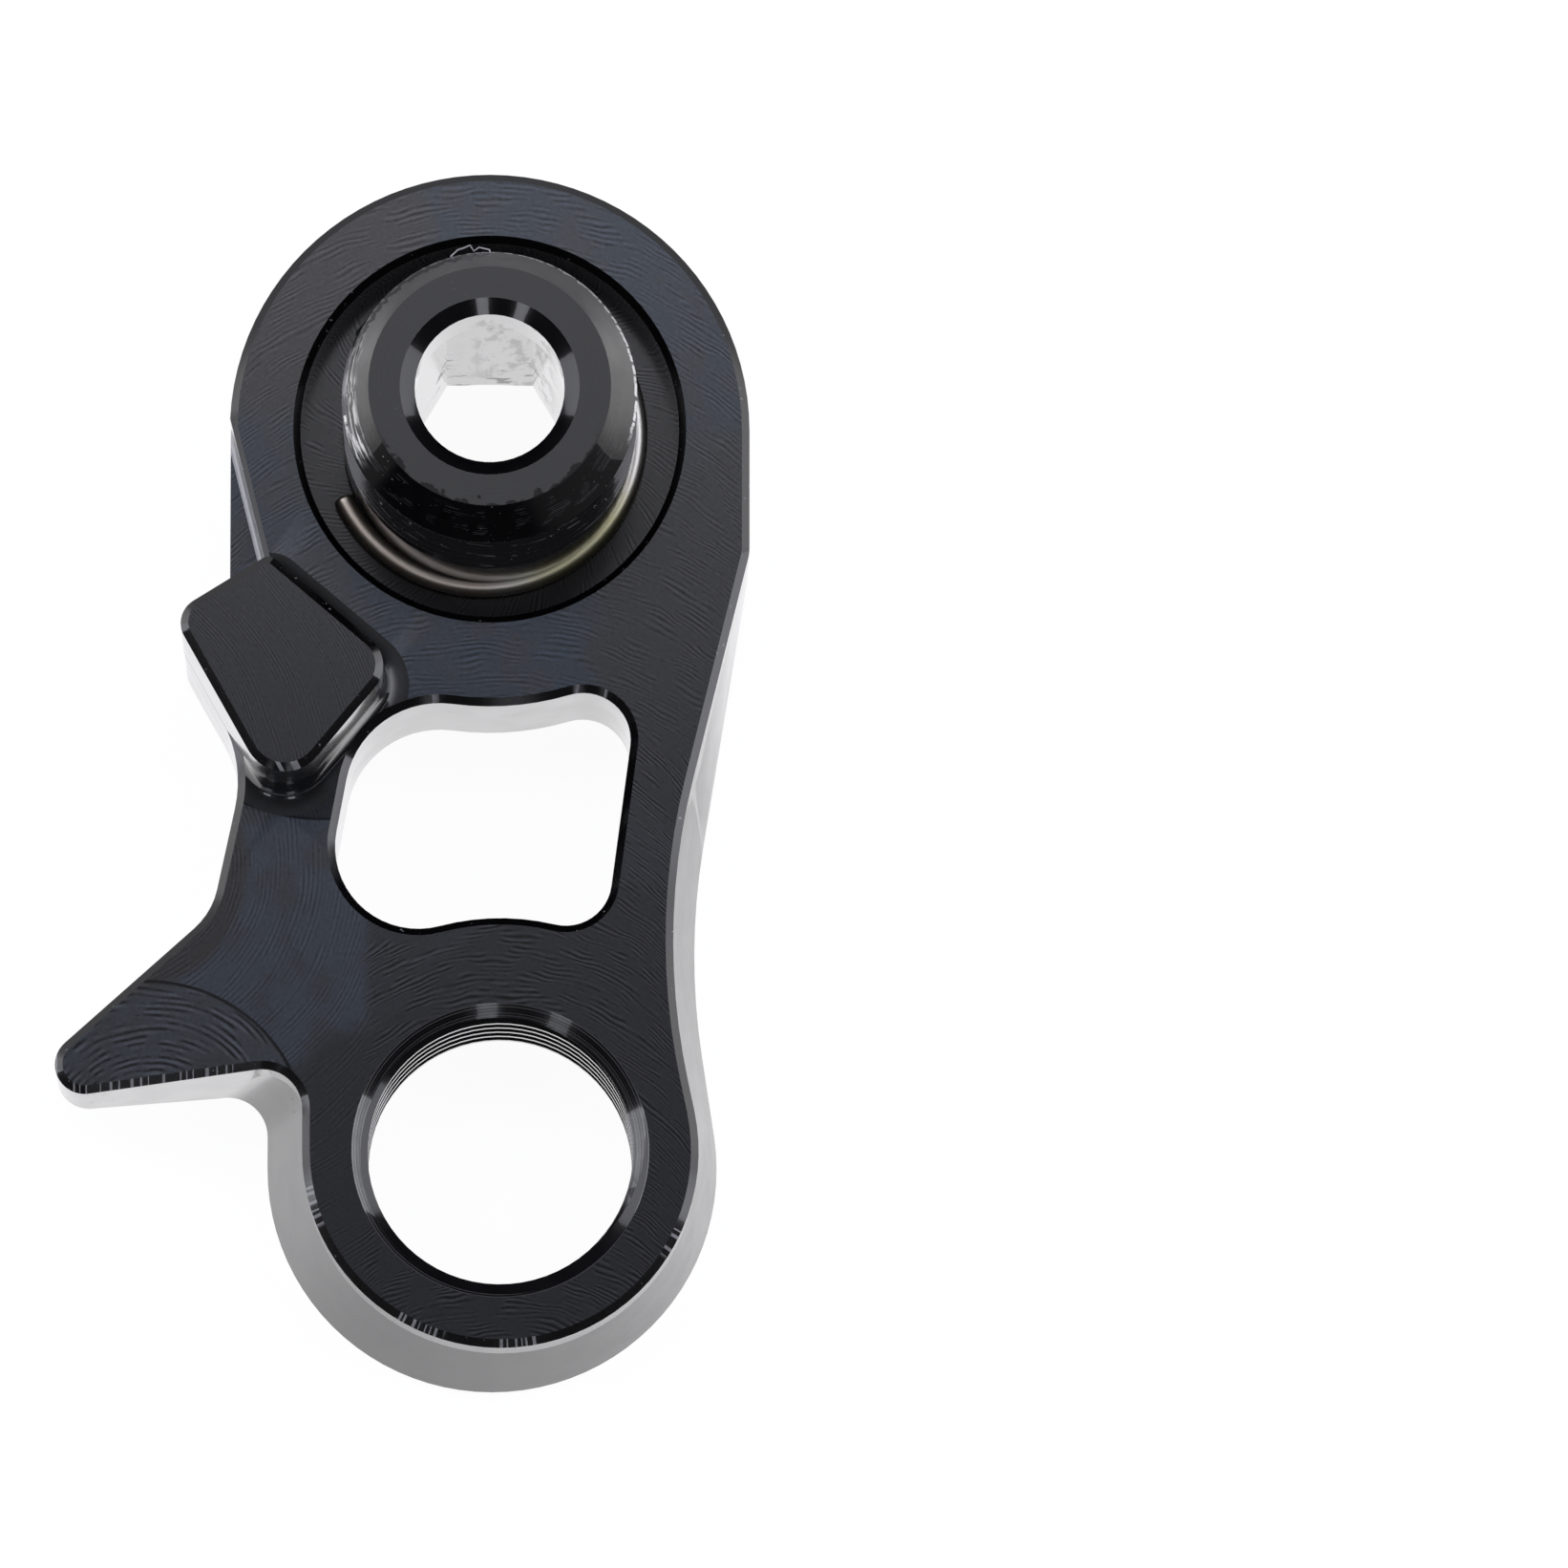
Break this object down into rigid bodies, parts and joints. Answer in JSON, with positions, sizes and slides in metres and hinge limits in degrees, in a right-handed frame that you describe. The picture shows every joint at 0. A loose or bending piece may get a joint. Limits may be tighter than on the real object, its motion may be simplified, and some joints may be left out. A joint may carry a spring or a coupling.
{
  "type": "derailleur mount adapter",
  "caption": "Milled link that lowers a rear derailleur below the frame's hanger, with a hollow mounting bolt, a stop block, a claw and a threaded lower eye.",
  "frame": {"origin": "on the mounting bolt's axis, in the front face that seats on the hanger", "axes": "+Z leaves the front face along the bolt's nose, +Y runs from the lower eye up to the head, +X is to the right seen from the front"},
  "size_m": [0.0233, 0.0408, 0.0144],
  "materials": {
    "anodised_body": "black anodised over milled faces, satin",
    "anodised_bolt": "black anodised over turned faces, gloss",
    "spring_wire": "bright drawn wire"
  },
  "bodies": {
    "adapter": {"adapter_body": "anodised_body"},
    "bolt": {"mounting_bolt": "anodised_bolt", "retaining_ring": "spring_wire"}
  },
  "joints": [
    {"name": "bolt_turn", "type": "hinge", "parent": "adapter", "child": "bolt", "pos_m": [0, 0, 0], "axis": [0, 0, 1], "continuous": true}
  ]
}
